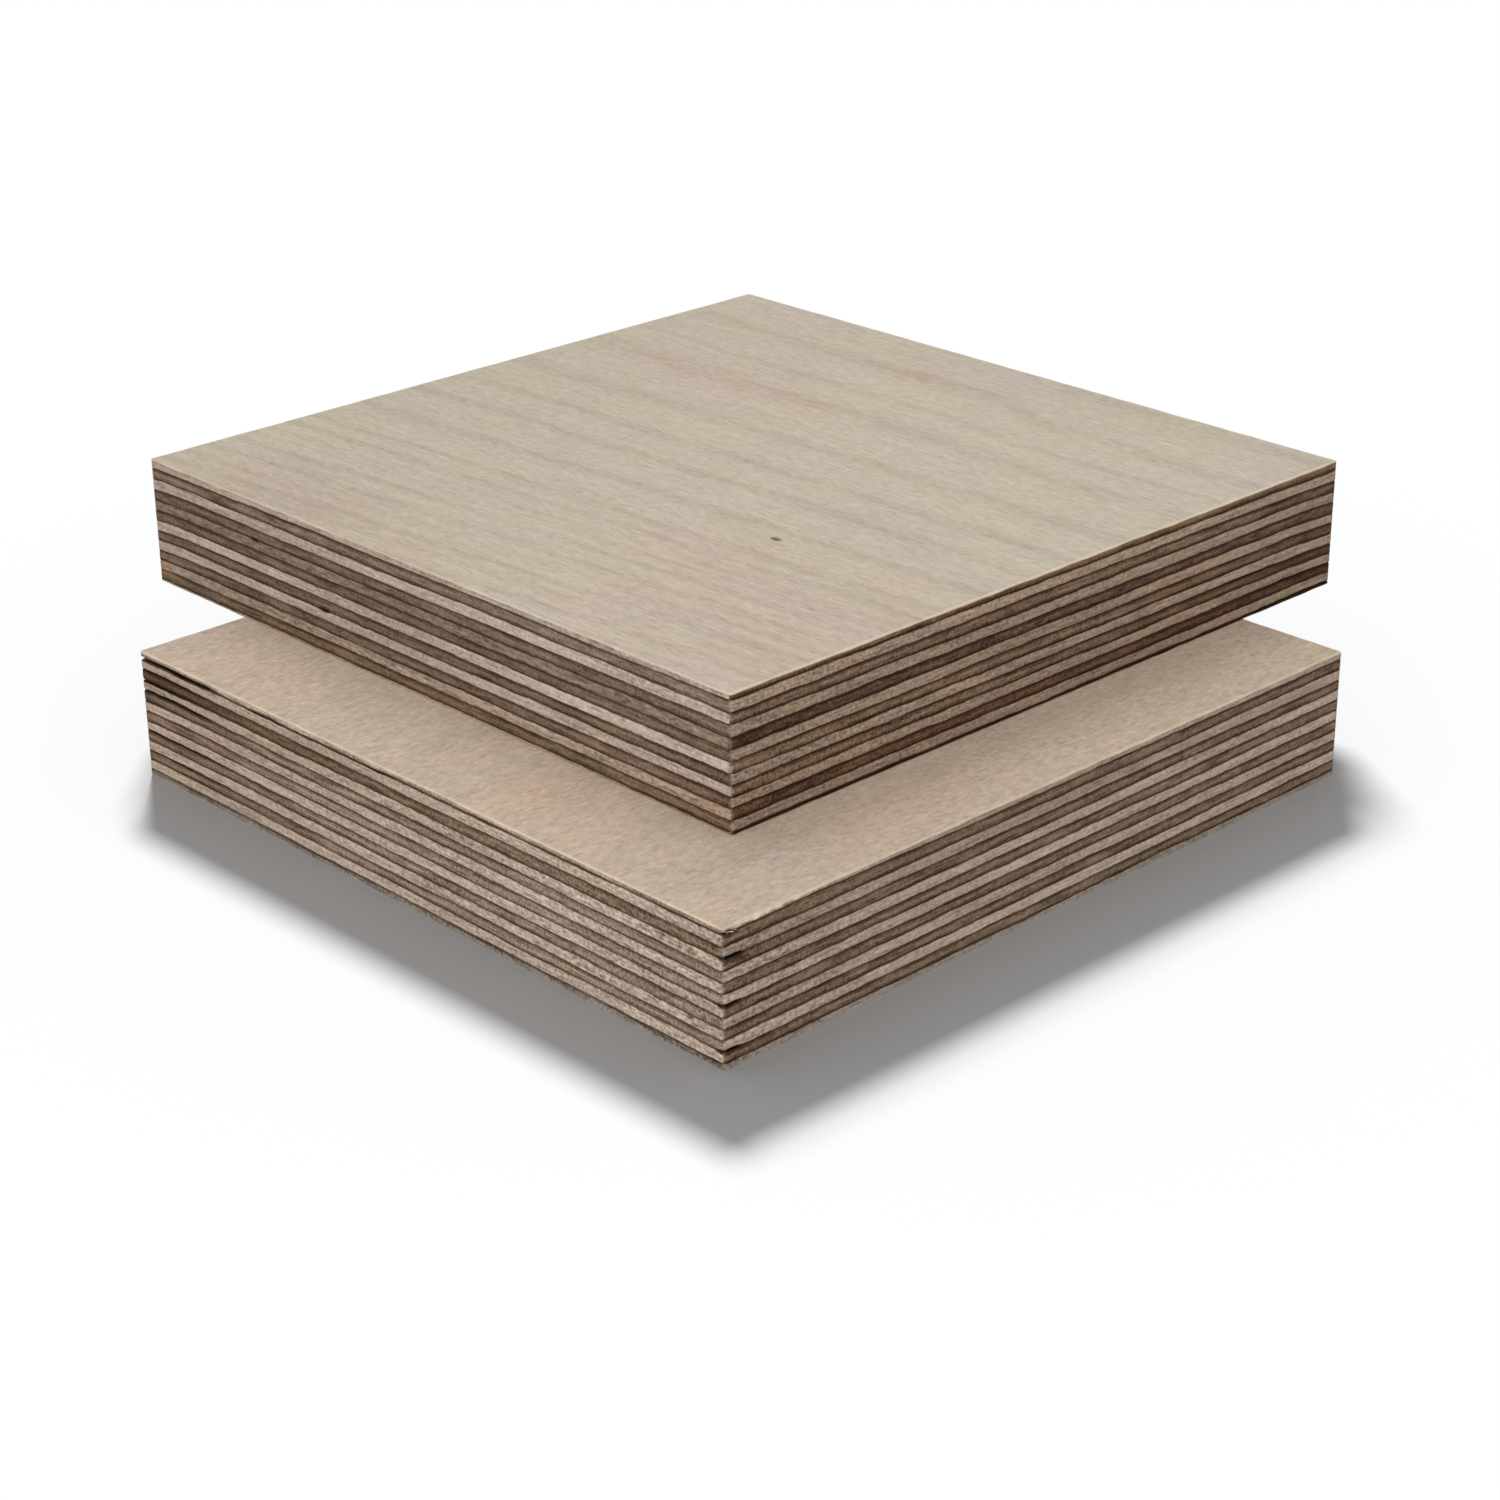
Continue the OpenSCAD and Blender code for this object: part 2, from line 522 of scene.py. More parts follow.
def fleck(finish, place, grain, size, detail=PLAIN):
    """Noise about 0, drawn out along the grain into flecks of that length and width in millimetres."""
    length, width = size
    stretch = [1 / length if axis in grain else 1 / width for axis in "XYZ"]
    finish.seed += SEED_STEP
    shift = [share * finish.seed for share in SEED_SHARES]
    stretched = finish.node(
        "ShaderNodeVectorMath",
        {"operation": "MULTIPLY_ADD"},
        {0: place, 1: stretch, 2: shift},
    )
    flecks = finish.node("ShaderNodeTexNoise", {}, {"Vector": stretched, "Scale": 1.0, "Detail": detail})
    return flecks - NOISE_MEAN


def measure(finish, name):
    """A measure that the mesh carries at each point."""
    return finish.node("ShaderNodeAttribute", {"attribute_name": name}, {}, "Fac")


# Where the saw's cut counts as across the fibres, by how squarely it meets them
ACROSS = (0.4, 0.8)
# Flecks in a sawn edge, as length along the grain and width in mm
FIBRE = (8.0, 0.40)
SPECK = (0.60, 0.36)
VESSEL = (0.7, 0.34)
RED_FLECK = (1.5, 0.45)
DRIFT = (28.0, 8.0)
GLUE_RAGGED = (0.9, 0.6)
# Growth rings, tints and patches of glue lie flat in a peeled veneer, as length each way and height in mm
FLAT = "XY"
YEAR_RING = (6.0, 0.22)
BLOTCH = (1.6, 0.42)
PINK_MOTTLE = (12.0, 2.5)
STRAW_MOTTLE = (9.0, 2.5)
GLUE_PATCH = (7.0, 1.2)
# How strongly each of them shows, and where it starts and is full
FIBRE_SHOWS = 0.60
SPECK_SHOWS = 1.0
SPECK_IN_FUR = 1.1
BLOTCH_SHOWS = 0.75
VESSEL_SHOWS = 0.3
VESSEL_IN_FUR = 0.3
VESSEL_EDGE = (0.12, 0.24)
VESSEL_CAST = (0.64, 0.56, 0.48, 1.0)
DRIFT_SHOWS = 0.8
YEAR_SHOWS = 0.75
YEAR_ON_END = 1.35
MOTTLE_SHOWS = 0.55
MOTTLE_EDGE = (-0.02, 0.24)
PINK_CAST = (1.02, 0.965, 0.98, 1.0)
STRAW_CAST = (1.00, 1.00, 0.87, 1.0)
RED_CAST = (1.12, 0.84, 0.70, 1.0)
RED_EDGE = (-0.12, 0.16)
# Cast, tint and darkening of the scorches and of the painted shade in the same table
SCORCH_AND_SHADE_CAST = (0.90, 0.76, 0.60, 1.0)
SCORCH_AND_SHADE_TINTS = 1.6
SCORCH_AND_SHADE_DARKENS = 0.8
# Glue: reach of the soaked wood and of the film in mm, how much their edges wander, and how dark they are
SOAKED_FROM = 0.10
SOAKED_REACH = 0.58
SOAKED_WANDER = 0.9
SOAKED_SHOWS = 0.95
SOAKED_VARIES = 1.6
SOAKED_CAST = (0.45, 0.37, 0.29, 1.0)
FILM_REACH = 0.18
FILM_WANDER = 0.24
FILM_SHOWS = 0.78
FILM_VARIES = 1.5
FILM_IN_SCORCH_AND_SHADE = 0.9
GLUE_FILM = paint(49, 33, 20)
# Painted shade inside a sprung joint: where it starts and is full, in mm inside the glue line, and how much
# it darkens
INSIDE_SHADE_EDGE = (0.0, 0.5)
INSIDE_PAINTED_SHADE = 0.92
# Pale of the rubbed corners and arrises, partly a painted highlight, and how strongly it shows
WORN_WOOD_AND_HIGHLIGHT = paint(206, 190, 170)
WORN_AND_HIGHLIGHT_SHOWS = 0.40


def sawn_edge(finish, place, grain, veneer, blotchy):
    """Colour and height of a sawn edge: pale along the fibres, dark across them, with glue at its joints."""
    along_colour, across_colour = veneer
    normal = finish.node("ShaderNodeNewGeometry", {}, {}, "Normal")
    across = ease(abs(finish.node("ShaderNodeSeparateXYZ", {}, {0: normal}, grain)), *ACROSS)
    furry = measure(finish, "fur")
    fibre = fleck(finish, place, grain, FIBRE)
    speck = fleck(finish, place, grain, SPECK)
    vessel = ease(fleck(finish, place, grain, VESSEL), *VESSEL_EDGE)
    drift = fleck(finish, place, grain, DRIFT, ROUGH)
    year = fleck(finish, place, FLAT, YEAR_RING, VERY_ROUGH)
    light = 1 + FIBRE_SHOWS * fibre + DRIFT_SHOWS * drift + (YEAR_SHOWS + YEAR_ON_END * across) * year
    light = light + (SPECK_SHOWS + SPECK_IN_FUR * furry) * speck
    light = light + blotchy * BLOTCH_SHOWS * fleck(finish, place, FLAT, BLOTCH)
    wood = shaded(finish, blend(finish, across, along_colour, across_colour), light)
    wood = blend(finish, (VESSEL_SHOWS + VESSEL_IN_FUR * furry) * vessel, wood, VESSEL_CAST, "MULTIPLY")
    pink = ease(fleck(finish, place, FLAT, PINK_MOTTLE), *MOTTLE_EDGE)
    straw = ease(fleck(finish, place, FLAT, STRAW_MOTTLE), *MOTTLE_EDGE)
    wood = blend(finish, MOTTLE_SHOWS * pink, wood, PINK_CAST, "MULTIPLY")
    wood = blend(finish, MOTTLE_SHOWS * straw, wood, STRAW_CAST, "MULTIPLY")
    red = measure(finish, "red") * ease(fleck(finish, place, FLAT, RED_FLECK, ROUGH), *RED_EDGE)
    wood = blend(finish, red, wood, RED_CAST, "MULTIPLY")
    # The scorch measure also carries painted shade, darker towards the -X end of each -Y side
    burn_and_shade = measure(finish, "scorch_and_shade")
    wood = shaded(finish, wood, 1 - SCORCH_AND_SHADE_DARKENS * burn_and_shade)
    wood = blend(finish, SCORCH_AND_SHADE_TINTS * burn_and_shade, wood, SCORCH_AND_SHADE_CAST, "MULTIPLY")
    to_glue = measure(finish, "to_glue")
    patch = fleck(finish, place, FLAT, GLUE_PATCH, ROUGH)
    ragged = fleck(finish, place, grain, GLUE_RAGGED)
    wider = 1 + measure(finish, "smear")
    soaked = across * (1 - ease(to_glue, SOAKED_FROM, SOAKED_REACH + SOAKED_WANDER * (patch + ragged)))
    film = 1 - ease(to_glue, 0.0, FILM_REACH * wider + FILM_WANDER * (patch + ragged))
    soaked_shows = SOAKED_SHOWS * wider * (1 + SOAKED_VARIES * patch)
    wood = blend(finish, soaked * soaked_shows, wood, SOAKED_CAST, "MULTIPLY")
    film_shows = FILM_SHOWS * wider * (1 + FILM_VARIES * patch) + FILM_IN_SCORCH_AND_SHADE * burn_and_shade
    wood = blend(finish, film * film_shows, wood, GLUE_FILM)
    # Painted shade in the recess of a sprung joint
    wood = shaded(finish, wood, 1 - INSIDE_PAINTED_SHADE * ease(0 - to_glue, *INSIDE_SHADE_EDGE))
    # Paler at the rubbed corners and arrises: worn wood and a painted highlight
    wood = blend(finish, WORN_AND_HIGHLIGHT_SHOWS * measure(finish, "wear_and_highlight"), wood, WORN_WOOD_AND_HIGHLIGHT)
    return wood, fibre + year + furry * (speck - vessel) - film


# Depth of a sawn edge's relief, how strongly relief shows, and how rough and how dull bare wood is
EDGE_RELIEF = 0.04 * MM
RELIEF_SHOWS = 0.6
BARE_ROUGHNESS = 0.74
ROUGHNESS_VARIES = 0.12
DULL = 0.08


def bare_wood(finish, colour, height, depth):
    """Ends a finish as unsealed wood, with its relief that deep."""
    relief = finish.node(
        "ShaderNodeBump",
        {},
        {"Height": height, "Distance": depth, "Strength": RELIEF_SHOWS},
    )
    shader = finish.node(
        "ShaderNodeBsdfPrincipled",
        {},
        {
            "Base Color": colour,
            "Roughness": BARE_ROUGHNESS - ROUGHNESS_VARIES * height,
            "Normal": relief,
            "Specular IOR Level": DULL,
        },
    )
    return finish.end("ShaderNodeOutputMaterial", shader)


# Colours of a veneer's sawn edge, along its fibres and across them
VENEERS = {
    "ivory": (paint(185, 167, 155), paint(139, 117, 100)),
    "chalk": (paint(182, 167, 157), paint(134, 112, 94)),
    "honey": (paint(192, 171, 155), paint(144, 127, 113)),
    "blond": (paint(194, 173, 156), paint(152, 133, 120)),
    "drab": (paint(189, 168, 150), paint(146, 129, 115)),
    "pale": (paint(182, 164, 149), paint(133, 112, 94)),
    "cream": (paint(182, 167, 155), paint(140, 118, 98)),
    "fawn": (paint(176, 154, 138), paint(134, 114, 96)),
    "clay": (paint(183, 160, 140), paint(133, 117, 104)),
    "sand": (paint(174, 152, 135), paint(118, 100, 85)),
    "tan": (paint(167, 146, 128), paint(121, 103, 90)),
    "dusk": (paint(161, 140, 122), paint(119, 101, 83)),
    "rosy": (paint(163, 146, 131), paint(108, 83, 67)),
    "umber": (paint(136, 118, 106), paint(111, 88, 74)),
    # Its dark end grain is partly painted shade along the bottom of the upper panel
    "smoked": (paint(153, 134, 115), paint(60, 35, 16)),
    "crown": (paint(177, 161, 149), paint(132, 106, 80)),
    "birch": (paint(182, 161, 143), paint(189, 171, 155)),
    "ash": (paint(156, 144, 132), paint(131, 123, 115)),
}
# Veneers with more or fewer blotches than the rest
BLOTCHY = {
    "umber": 2.2,
    "rosy": 1.7,
    "chalk": 0.7,
    "cream": 0.7,
    "fawn": 0.5,
    "honey": 0.5,
    "blond": 0.5,
    "drab": 0.5,
}
CORE_VENEERS = {
    "lower": ("fawn", "honey", "blond", "drab", "honey"),
    "upper": ("chalk", "umber", "cream", "cream", "rosy"),
}
# Step that sets the flecks of one ply apart from the next one's
PLY_SEED = 171.0


def ply_seed(panel, ply):
    """A number of its own for each ply, so that no two look alike."""
    return PLY_SEED * (LAYUP.index(ply) + len(LAYUP) * PANELS.index(panel))


def edge_material(panel, ply, grain, veneer):
    """Finish of a ply's sawn edge."""
    finish = Finish(bpy.data.materials.new(f"{panel}_{ply}_edge"), ply_seed(panel, ply))
    blotchy = BLOTCHY.get(veneer, 1.0)
    colour, height = sawn_edge(finish, place_in_mm(finish), grain, VENEERS[veneer], blotchy)
    return bare_wood(finish, colour, height, EDGE_RELIEF)


def lay_plies(kind, grains, veneers):
    """Adds the inner plies of one kind to both panels."""
    for panel in PANELS:
        for number, veneer in enumerate(veneers[panel], start=1):
            ply = f"{kind}_{number}"
            points, faces, measures = inner_ply(panel, ply, grains[panel])
            material = edge_material(panel, ply, grains[panel], veneer)
            add_piece(panel, ply, points, faces, measures, [material])


lay_plies("core", FACE_GRAIN, CORE_VENEERS)

# Crossbands: six thick veneers in each panel, peeled like the cores and laid across them.
# They carry the glue for both neighbours, so that their sawn ends drink it in and go dark at the joints.

CROSS_GRAIN = {"lower": "X", "upper": "Y"}
CROSSBAND_VENEERS = {
    "lower": ("pale", "pale", "ivory", "ivory", "pale", "pale"),
    "upper": ("clay", "tan", "tan", "sand", "tan", "dusk"),
}
lay_plies("crossband", CROSS_GRAIN, CROSSBAND_VENEERS)

# Back veneers: the thin ply under each panel, peeled from the log and sanded flat after pressing.
# Sanding by hand then took the sharpness off its edge, a little more in one place than in another.

# Width of the sanded arris on each side in mm, and how pale it is, from rubbing and a painted highlight
ARRISES = {
    "lower_face_veneer": {"-Y": (0.12, 0.40), "+X": (0.16, 0.45), "+Y": (0.15, 0.4), "-X": (0.15, 0.4)},
    "upper_face_veneer": {"-Y": (0.13, 0.15), "+X": (0.14, 0.75), "+Y": (0.15, 0.4), "-X": (0.15, 0.4)},
    "lower_back_veneer": {"-Y": (0.15, 0.1), "+X": (0.15, 0.3), "+Y": (0.15, 0.2), "-X": (0.15, 0.2)},
    "upper_back_veneer": {"-Y": (0.15, 0.8), "+X": (0.15, 0.0), "+Y": (0.15, 0.2), "-X": (0.15, 0.2)},
}
# Chips torn out of an arris: node, side, mm from that side's -Y end, reach and depth in mm
CHIPS = (
    ("lower_face_veneer", "+X", 2.3, 0.5, 0.30),
    ("lower_face_veneer", "+X", 3.7, 0.5, 0.20),
    ("lower_face_veneer", "+X", 5.2, 0.7, 0.34),
    ("lower_face_veneer", "+X", 7.0, 0.5, 0.22),
    ("lower_face_veneer", "+X", 8.7, 0.6, 0.30),
    ("lower_face_veneer", "+X", 11.4, 0.5, 0.18),
)
# How much paler a chip is for each mm of its depth
CHIP_PALE = 1.4
# The way each side faces
SIDES = {"-Y": (0, -1), "+X": (1, 0), "+Y": (0, 1), "-X": (-1, 0)}
# How uneven an arris is, and in waves of what length
ARRIS_UNEVEN = 0.6
ARRIS_WAVE = 3.0 * MM
# How fast the rubbing and painted highlight fade on the edge below the arris
RUB_AND_HIGHLIGHT_FADES = 5
# An outer ply is grooved at its one glue line, and its outer face counts as that many mm from the glue
ONE_GROOVE = np.where(ROWS < ROWS[::-1], GROOVE, 0.0)
FAR_FROM_GLUE = 5.0
# Digits to which the places of columns in line with each other are the same
PLACE_DIGITS = 9


def sanded_arris(panel, ply, outline, facing):
    """Width of an outer veneer's arris, and how pale it is, from rubbing and a painted highlight, at each
    column of its outline.
    """
    width, pale = np.zeros(len(facing)), np.zeros(len(facing))
    for side, way in SIDES.items():
        side_width, side_pale = ARRISES[f"{panel}_{ply}"][side]
        share = np.clip(facing @ np.array(way), 0, 1) ** 2
        width += share * side_width * MM
        pale += share * side_pale
    for node, side, place, reach, depth in CHIPS:
        if node == f"{panel}_{ply}":
            away, on_side = along_side(panel, outline, side, "-Y")
            chip = on_side * depth * np.exp(-(((away - place) / reach) ** 2))
            width += chip * MM
            pale += CHIP_PALE * chip
    return width, pale


def face_grid(axes, rim_row, first):
    """Grid of an outer face inside its rim, as (x, y, faces), joined to the rim column by column.

    The rim's points are numbered from rim_row on, and the grid's from first on.
    """
    places = axes.round(PLACE_DIGITS)
    x, y = np.unique(places[:, 0]), np.unique(places[:, 1])
    grid_x, grid_y = (side.ravel() for side in np.meshgrid(x, y, indexing="ij"))
    border = first + np.searchsorted(x, places[:, 0]) * len(y) + np.searchsorted(y, places[:, 1])
    border = border.tolist()
    faces = []
    for column, inside in enumerate(border):
        onward = (column + 1) % len(border)
        rim = (rim_row + column, rim_row + onward)
        if inside == border[onward]:
            faces.append((*rim, inside))
        else:
            faces.append((*rim, border[onward], inside))
    for i in range(len(x) - 1):
        for j in range(len(y) - 1):
            corner = first + i * len(y) + j
            faces.append((corner, corner + len(y), corner + len(y) + 1, corner + 1))
    return grid_x, grid_y, faces


def outer_veneer(panel, ply, grain, relief=None):
    """Closed mesh of an outer ply with a bevelled arris, as (points, faces, how many are edge, measures).

    Its outer face is flat, or a grid that is sunk by relief(panel, x, y).
    """
    up = 1 if ply == "face_veneer" else -1
    joint = 1 if up > 0 else len(LAYUP) - 1
    outer = joint_level(panel, 0 if up > 0 else len(LAYUP))
    axes, facing = sawn_plan(panel)
    outline = axes + CORNER_R * facing
    glue = joint_heights(panel, joint, outline) + up * joint_gaps(panel, joint, outline) / 2
    arris, pale = sanded_arris(panel, ply, outline, facing)
    uneven = noise_at(outline, ARRIS_WAVE, joint_seed(panel, joint))
    arris *= 1 + ARRIS_UNEVEN * uneven
    pale *= 1 + ARRIS_UNEVEN * uneven
    shoulder = outer - up * arris
    points, to_glue, rubbed_and_highlit = [], [], []
    for share, groove in zip(ROWS, ONE_GROOVE):
        height = glue + share * (shoulder - glue)
        wall = np.column_stack((outline, height))
        sunk = groove + torn(wall, facing, grain, joint_seed(panel, joint))
        wall[:, :2] -= facing * sunk[:, None]
        points.append(wall)
        to_glue.append(np.abs(height - glue) / MM)
        rubbed_and_highlit.append(pale * share ** RUB_AND_HIGHLIGHT_FADES)
    rim = np.column_stack((outline - facing * arris[:, None], np.full(len(outline), outer)))
    points.append(rim)
    to_glue.append(np.full(len(rim), FAR_FROM_GLUE))
    rubbed_and_highlit.append(pale)
    inner_axes, _ = sawn_plan(panel, SPRUNG_DEPTH)
    inner = inner_axes + CORNER_R * facing
    points.append(np.column_stack((inner, joint_heights(panel, joint, inner))))
    to_glue.append(np.full(len(inner), DEEP_INSIDE))
    rubbed_and_highlit.append(np.zeros(len(inner)))
    columns = len(outline)
    shoulder_row, rim_row, hidden_row, grid_row = ((len(ROWS) + step) * columns for step in (-1, 0, 1, 2))
    faces = wall_faces(len(ROWS), columns)
    for column in range(columns):
        onward = (column + 1) % columns
        faces.append((onward, column, hidden_row + column, hidden_row + onward))
    faces.append(tuple(range(hidden_row + columns - 1, hidden_row - 1, -1)))
    edge_faces = len(faces)
    for column in range(columns):
        onward = (column + 1) % columns
        faces.append((shoulder_row + column, shoulder_row + onward, rim_row + onward, rim_row + column))
    if relief is None:
        faces.append(tuple(range(rim_row, rim_row + columns)))
    else:
        x, y, grid_faces = face_grid(axes, rim_row, grid_row)
        faces += grid_faces
        points.append(np.column_stack((x, y, outer - up * relief(panel, x, y))))
        to_glue.append(np.full(len(x), FAR_FROM_GLUE))
        rubbed_and_highlit.append(np.zeros(len(x)))
    if up < 0:
        faces = [face[::-1] for face in faces]
    points = np.concatenate(points)
    measures = edge_measures(panel, ply, points, np.concatenate(to_glue))
    measures["wear_and_highlight"] = np.maximum(measures["wear_and_highlight"], np.concatenate(rubbed_and_highlit))
    return points, faces, edge_faces, measures


# Wood of each face, and the shades that its patches, growth rings and pores take
FACE_WOOD = {"lower": paint(196, 178, 160), "upper": paint(195, 184, 166)}
BUFF_CAST = (0.960, 0.960, 0.935, 1.0)
MAUVE_CAST = (1.0, 0.985, 1.05, 1.0)
BLUSH_CAST = (1.03, 0.945, 0.94, 1.0)
# Cast of the dark patches, which are painted shade on the lower face
DARK_PATCH_AND_SHADE_CAST = (0.80, 0.79, 0.76, 1.0)
LATE_CAST = (0.83, 0.81, 0.80, 1.0)
PORE_CAST = (0.66, 0.62, 0.58, 1.0)
# Flecks in a sanded face, as length along the grain and width in mm
RING_BREAK = (9.0, 2.0)
FACE_FIBRE = (7.0, 0.45)
DASH = {"lower": (1.2, 0.6), "upper": (1.8, 0.55)}
CLOUD = (26.0, 7.0)
BLUSH_PATCH = (8.0, 3.5)
MAUVE_PATCH = (18.0, 9.0)
FACE_PORE = (1.4, 0.30)
PALE_FLECK = (1.8, 0.40)
# Where each of them starts and is full, and how strongly it shows
BREAK_EDGE = (-0.14, 0.20)
BREAK_LEAVES = 0.40
PORE_EDGE = (0.12, 0.24)
PALE_EDGE = (0.12, 0.26)
CLOUD_EDGE = (-0.08, 0.16)
BLUSH_EDGE = (-0.30, 0.18)
MAUVE_EDGE = (-0.04, 0.12)
MAUVE_SHOWS = {"lower": 0.5, "upper": 1.0}
FACE_FIBRE_SHOWS = {"lower": 0.18, "upper": 0.22}
DASH_SHOWS = {"lower": 0.56, "upper": 0.38}
PALE_SHOWS = {"lower": 0.14, "upper": 0.12}
CLOUD_SHOWS = 0.26
FACE_PORE_SHOWS = {"lower": 0.62, "upper": 0.45}
FACE_RELIEF = 0.03 * MM


def sanded_face(finish, place, panel, rings):
    """Colour and height of a sanded face: broken growth rings, fibres and pores, in clouds of buff."""
    grain, wood = FACE_GRAIN[panel], FACE_WOOD[panel]
    broken = ease(fleck(finish, place, grain, RING_BREAK, ROUGH), *BREAK_EDGE)
    ring = rings * (BREAK_LEAVES + (1 - BREAK_LEAVES) * broken)
    fibre = fleck(finish, place, grain, FACE_FIBRE, ROUGH)
    dash = fleck(finish, place, grain, DASH[panel])
    cloud = fleck(finish, place, grain, CLOUD, ROUGH)
    pore = ease(fleck(finish, place, grain, FACE_PORE), *PORE_EDGE)
    pale = ease(fleck(finish, place, grain, PALE_FLECK), *PALE_EDGE)
    mauve = ease(fleck(finish, place, grain, MAUVE_PATCH, ROUGH), *MAUVE_EDGE)
    wood = blend(finish, ease(cloud, *CLOUD_EDGE), wood, BUFF_CAST, "MULTIPLY")
    wood = blend(finish, MAUVE_SHOWS[panel] * mauve, wood, MAUVE_CAST, "MULTIPLY")
    wood = blend(finish, ring, wood, LATE_CAST, "MULTIPLY")
    wood = blend(finish, FACE_PORE_SHOWS[panel] * pore, wood, PORE_CAST, "MULTIPLY")
    light = 1 + FACE_FIBRE_SHOWS[panel] * fibre + DASH_SHOWS[panel] * dash + CLOUD_SHOWS * cloud
    light = light + PALE_SHOWS[panel] * pale
    return shaded(finish, wood, light), fibre + dash - ring - pore


# The back's growth rings, a plain row of them: how far apart in mm, the waves in them and how far those
# wander, and each ring's reach in mm and strength
BACK_RING = 9.0
BACK_WANDER = (16.0, 3.0)
BACK_WANDERS = 2.6
BACK_RING_REACH = 2.0
BACK_RING_SHOWS = 0.5
# The upper back veneer's dark end grain is partly painted shade along the panel's bottom
BACK_VENEERS = {"lower": "ash", "upper": "smoked"}
for panel in PANELS:
    ply = "back_veneer"
    grain = FACE_GRAIN[panel]
    points, faces, edge_faces, measures = outer_veneer(panel, ply, grain)
    edge = edge_material(panel, ply, grain, BACK_VENEERS[panel])
    finish = Finish(bpy.data.materials.new(f"{panel}_{ply}_face"), ply_seed(panel, ply))
    place = place_in_mm(finish)
    sideways = finish.node("ShaderNodeSeparateXYZ", {}, {0: place}, "Y" if grain == "X" else "X")
    wandering = sideways + BACK_WANDERS * fleck(finish, place, grain, BACK_WANDER, ROUGH)
    to_ring = abs(wandering % BACK_RING - BACK_RING / 2)
    rings = BACK_RING_SHOWS * (1 - ease(to_ring, 0.0, BACK_RING_REACH))
    colour, height = sanded_face(finish, place, panel, rings)
    face = bare_wood(finish, colour, height, FACE_RELIEF)
    add_piece(panel, ply, points, faces, measures, [edge, face], edge_faces)

# Face veneers: the thin show ply on top of each panel, peeled from the log so that its growth rings run as
# long waves. It is pressed on with the rest, sanded smooth and left bare.
# It is a quiet beige with pink patches, and the upper one has a pin knot.

# Growth rings of each face: mm from the -X edge on the lower and from the +Y edge on the upper, reach in mm
# and depth of shade. The lower face's are faint and all alike.
FAINT_RING = (1.6, 0.2)
RINGS = {
    "lower": [(place, *FAINT_RING) for place in (6, 17, 31, 40, 52, 66, 75, 88, 101, 111)],
    "upper": (
        (-2.0, 1.6, 0.5),
        (12.0, 2.4, 0.62),
        (24.0, 1.1, 0.58),
        (33.0, 3.0, 0.60),
        (48.3, 2.0, 0.66),
        (59.5, 1.3, 0.82),
        (68.0, 1.4, 0.74),
        (78.0, 1.4, 0.78),
        (87.2, 0.9, 0.74),
        (91.4, 1.0, 0.68),
        (95.2, 0.8, 0.50),
        (97.4, 0.8, 0.48),
        (100.7, 0.9, 0.70),
        (105.3, 1.0, 0.58),
        (109.2, 0.9, 0.58),
        (113.0, 1.0, 0.70),
        (116.4, 0.8, 0.46),
        (120.4, 1.0, 0.76),
        (124.6, 0.8, 0.60),
    ),
}
# How a ring darkens the wood, in reaches from its middle: from where, held till where and gone where
RING_STARTS = -1.2
RING_HOLDS = 0.25
RING_ENDS = 1.9
# How far a ring wanders in mm, in waves of that length and width
RING_WANDERS = 0.7
RING_WAVE = np.array((16.0, 3.0))
# The upper rings fan out towards +X, by that share for each mm, from a ring that runs straight
RING_FAN = 0.0011
RING_FAN_FROM = 15.0
# The upper rings near the +Y edge have a kink: its place and length along X, its drop, and its middle and
# reach from that edge, all in mm
KINK_AT = 72.0
KINK_LENGTH = 8.0
KINK_DROP = 5.0
KINK_FROM = 12.0
KINK_REACH = 24.0


def plan_place(panel, x, y):
    """Where a point of a face lies, in mm from the -X edge and from the +Y edge."""
    low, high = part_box(f"{panel}_face_veneer")
    return (x - low.x) / MM, (high.y - y) / MM


def smooth_rise(values, start, end):
    """0 up to start, 1 from end, smooth between."""
    share = np.clip((values - start) / (end - start), 0, 1)
    return share * share * (3 - 2 * share)


def late_wood(panel, x, y):
    """How dark the growth rings are at points of a face. Each starts sharply and fades slowly."""
    u, v = plan_place(panel, x, y)
    along, across = v, u
    if panel == "upper":
        drop = KINK_DROP * smooth_rise(u, KINK_AT - KINK_LENGTH, KINK_AT + KINK_LENGTH)
        fade = np.clip(1 - np.abs(v - KINK_FROM) / KINK_REACH, 0, 1)
        along, across = u, v + RING_FAN * (v - RING_FAN_FROM) * u - drop * fade
    wander = noise_at(np.column_stack((along, across)) / RING_WAVE, 1.0, joint_seed(panel, 0))
    dark = np.zeros(len(x))
    for place, reach, depth in RINGS[panel]:
        off = (across + RING_WANDERS * wander - place) / reach
        ring = smooth_rise(off, RING_STARTS, 0.0) * (1 - smooth_rise(off, RING_HOLDS, RING_ENDS))
        dark = np.maximum(dark, depth * ring)
    return dark


# Pink stains and dark patches of each face: place from the -X and +Y edges, reach along X and along Y in mm,
# and strength. The lower face's dark patches are painted shade, beside the upper panel's +X side and towards
# the far end of its +X strip. The upper face's dark patches darken it towards its -X and +Y edges and near
# its front-left corner.
PINK_STAINS = {
    "lower": ((74, 104, 6, 6, 1.0), (105, 75, 7, 14, 0.6), (20, 106, 9, 4, 0.3)),
    "upper": (
        (20, 12.5, 9, 4, 1.3),
        (47, 12.5, 13, 4, 1.3),
        (32, 34.5, 26, 5, 1.5),
        (86, 88, 18, 12, 1.4),
        (107, 86, 13, 12, 1.2),
        (106, 102, 20, 16, 1.6),
        (88, 103, 14, 14, 1.0),
        (34, 110, 34, 7, 0.9),
    ),
}
